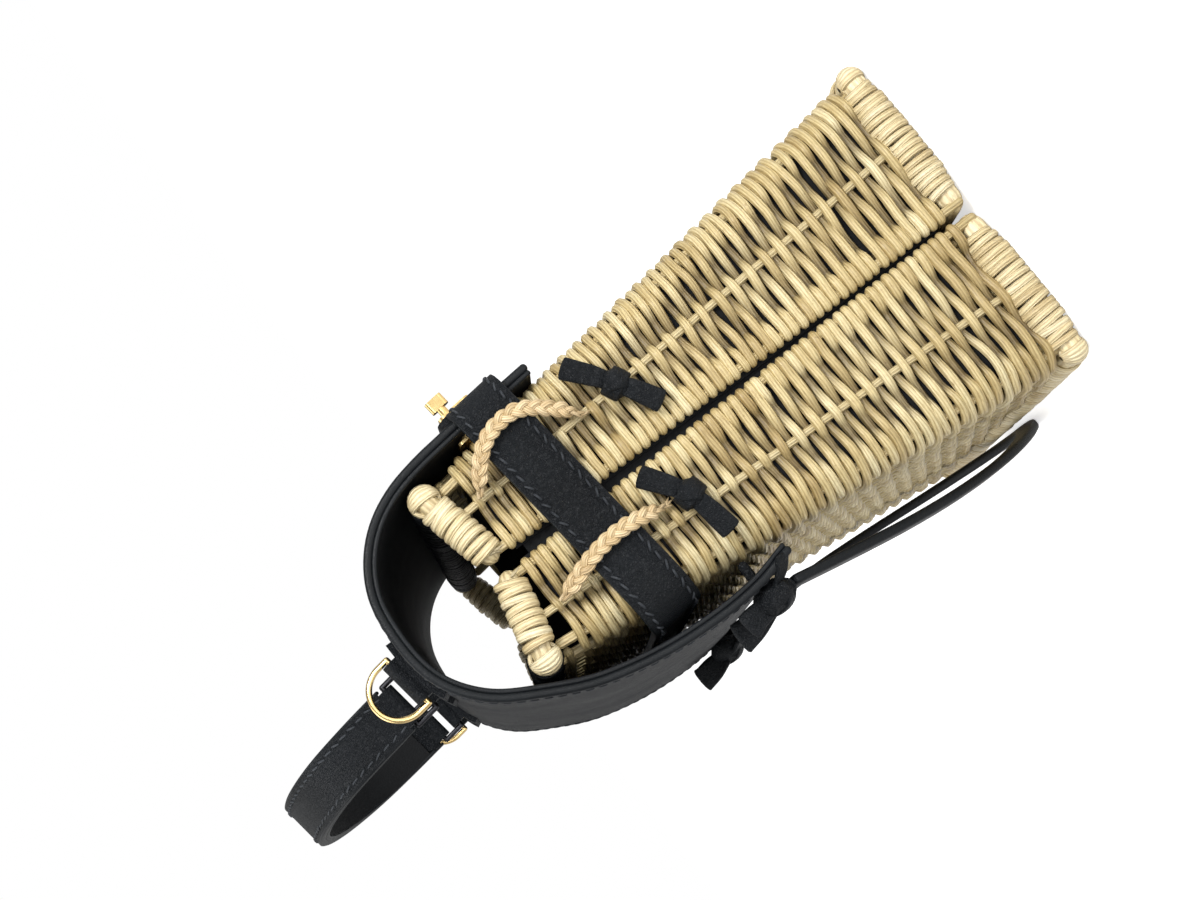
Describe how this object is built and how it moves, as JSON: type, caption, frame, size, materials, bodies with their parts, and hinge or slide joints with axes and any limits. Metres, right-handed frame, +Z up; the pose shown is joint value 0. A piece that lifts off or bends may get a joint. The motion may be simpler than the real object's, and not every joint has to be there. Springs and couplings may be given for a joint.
{
  "type": "basket box bag",
  "caption": "Small woven wicker box bag in two trays with an arched leather flap, a level belt with turn locks, braided loops and a top handle.",
  "frame": {"origin": "on the floor under the middle of the whole object's box", "axes": "+X along the bag, -Y towards the locks in front, +Z up"},
  "size_m": [0.2124, 0.1104, 0.2483],
  "materials": {
    "wicker": "peeled willow, semi-gloss",
    "cane": "split cane wrapping, semi-gloss",
    "raffia": "braided raffia, dull",
    "black_leather": "fine pebbled, soft sheen",
    "lining_leather": "smooth, glossy",
    "brass": "polished",
    "black_metal": "satin black"
  },
  "bodies": {
    "bag": {"base_lashings": "cane", "base_rim_back": "cane", "base_rim_front": "cane", "basket_back": "wicker", "basket_front": "wicker", "belt": "black_leather", "belt_loop_left_back": "raffia", "belt_loop_left_front": "raffia", "belt_loop_right_back": "raffia", "belt_loop_right_front": "raffia", "belt_plate_left": "brass", "belt_plate_right": "brass", "d_tab_left": "black_leather", "d_tab_right": "black_leather", "flap": "black_leather", "flap_eyelet_left": "brass", "flap_eyelet_right": "brass", "flap_lining": "lining_leather", "flap_tie_left": "black_leather", "flap_tie_right": "black_leather", "gusset_left": "lining_leather", "gusset_right": "lining_leather", "handle_pad_left": "black_leather", "handle_pad_right": "black_leather", "hanging_strap": "black_leather", "lace_knot_left_back": "black_leather", "lace_knot_left_front": "black_leather", "lace_knot_right_back": "black_leather", "lace_knot_right_front": "black_leather", "lining_back": "lining_leather", "lining_front": "lining_leather", "lock_base_left": "brass", "lock_base_right": "brass", "rim_lacing_back": "black_leather", "rim_lacing_front": "black_leather", "top_rim_back": "cane", "top_rim_front": "cane"},
    "handle_body": {"handle": "black_leather", "handle_lining": "lining_leather"},
    "ring_left": {"handle_ring_left": "black_metal"},
    "ring_right": {"handle_ring_right": "black_metal"},
    "d_left": {"d_ring_left": "brass"},
    "d_right": {"d_ring_right": "brass"},
    "lock_left": {"lock_head_left": "brass"},
    "lock_right": {"lock_head_right": "brass"}
  },
  "joints": [
    {"name": "lock_turn_left", "type": "hinge", "parent": "bag", "child": "lock_left", "pos_m": [-0.088, -0.04815, 0.14496], "axis": [0, -0.9945, 0.1045], "range_deg": [0, 90]},
    {"name": "lock_turn_right", "type": "hinge", "parent": "bag", "child": "lock_right", "pos_m": [0.088, -0.04815, 0.14496], "axis": [0, -0.9945, 0.1045], "range_deg": [0, 90]},
    {"name": "d_ring_swing_left", "type": "hinge", "parent": "bag", "child": "d_left", "pos_m": [-0.086, 0.00379, 0.19511], "axis": [0, 0.9903, -0.1392], "range_deg": [-80, 80]},
    {"name": "d_ring_swing_right", "type": "hinge", "parent": "bag", "child": "d_right", "pos_m": [0.086, 0.00379, 0.19511], "axis": [0, 0.9903, -0.1392], "range_deg": [-80, 80]},
    {"name": "handle_link_left", "type": "hinge", "parent": "bag", "child": "ring_left", "pos_m": [-0.06, 0.00445, 0.19475], "axis": [0, 0.9903, -0.1392], "range_deg": [-20, 20]},
    {"name": "handle_link_right", "type": "hinge", "parent": "bag", "child": "ring_right", "pos_m": [0.06, 0.00445, 0.19475], "axis": [0, 0.9903, -0.1392], "range_deg": [-20, 20]},
    {"name": "handle_sway", "type": "hinge", "parent": "ring_left", "child": "handle_body", "pos_m": [-0.06, 0.00539, 0.20139], "axis": [0, 0.9903, -0.1392], "range_deg": [-20, 20]}
  ],
  "couplings": [
    {"joint": "handle_link_right", "follows": "handle_link_left", "ratio": 1},
    {"joint": "handle_sway", "follows": "handle_link_left", "ratio": -1}
  ]
}
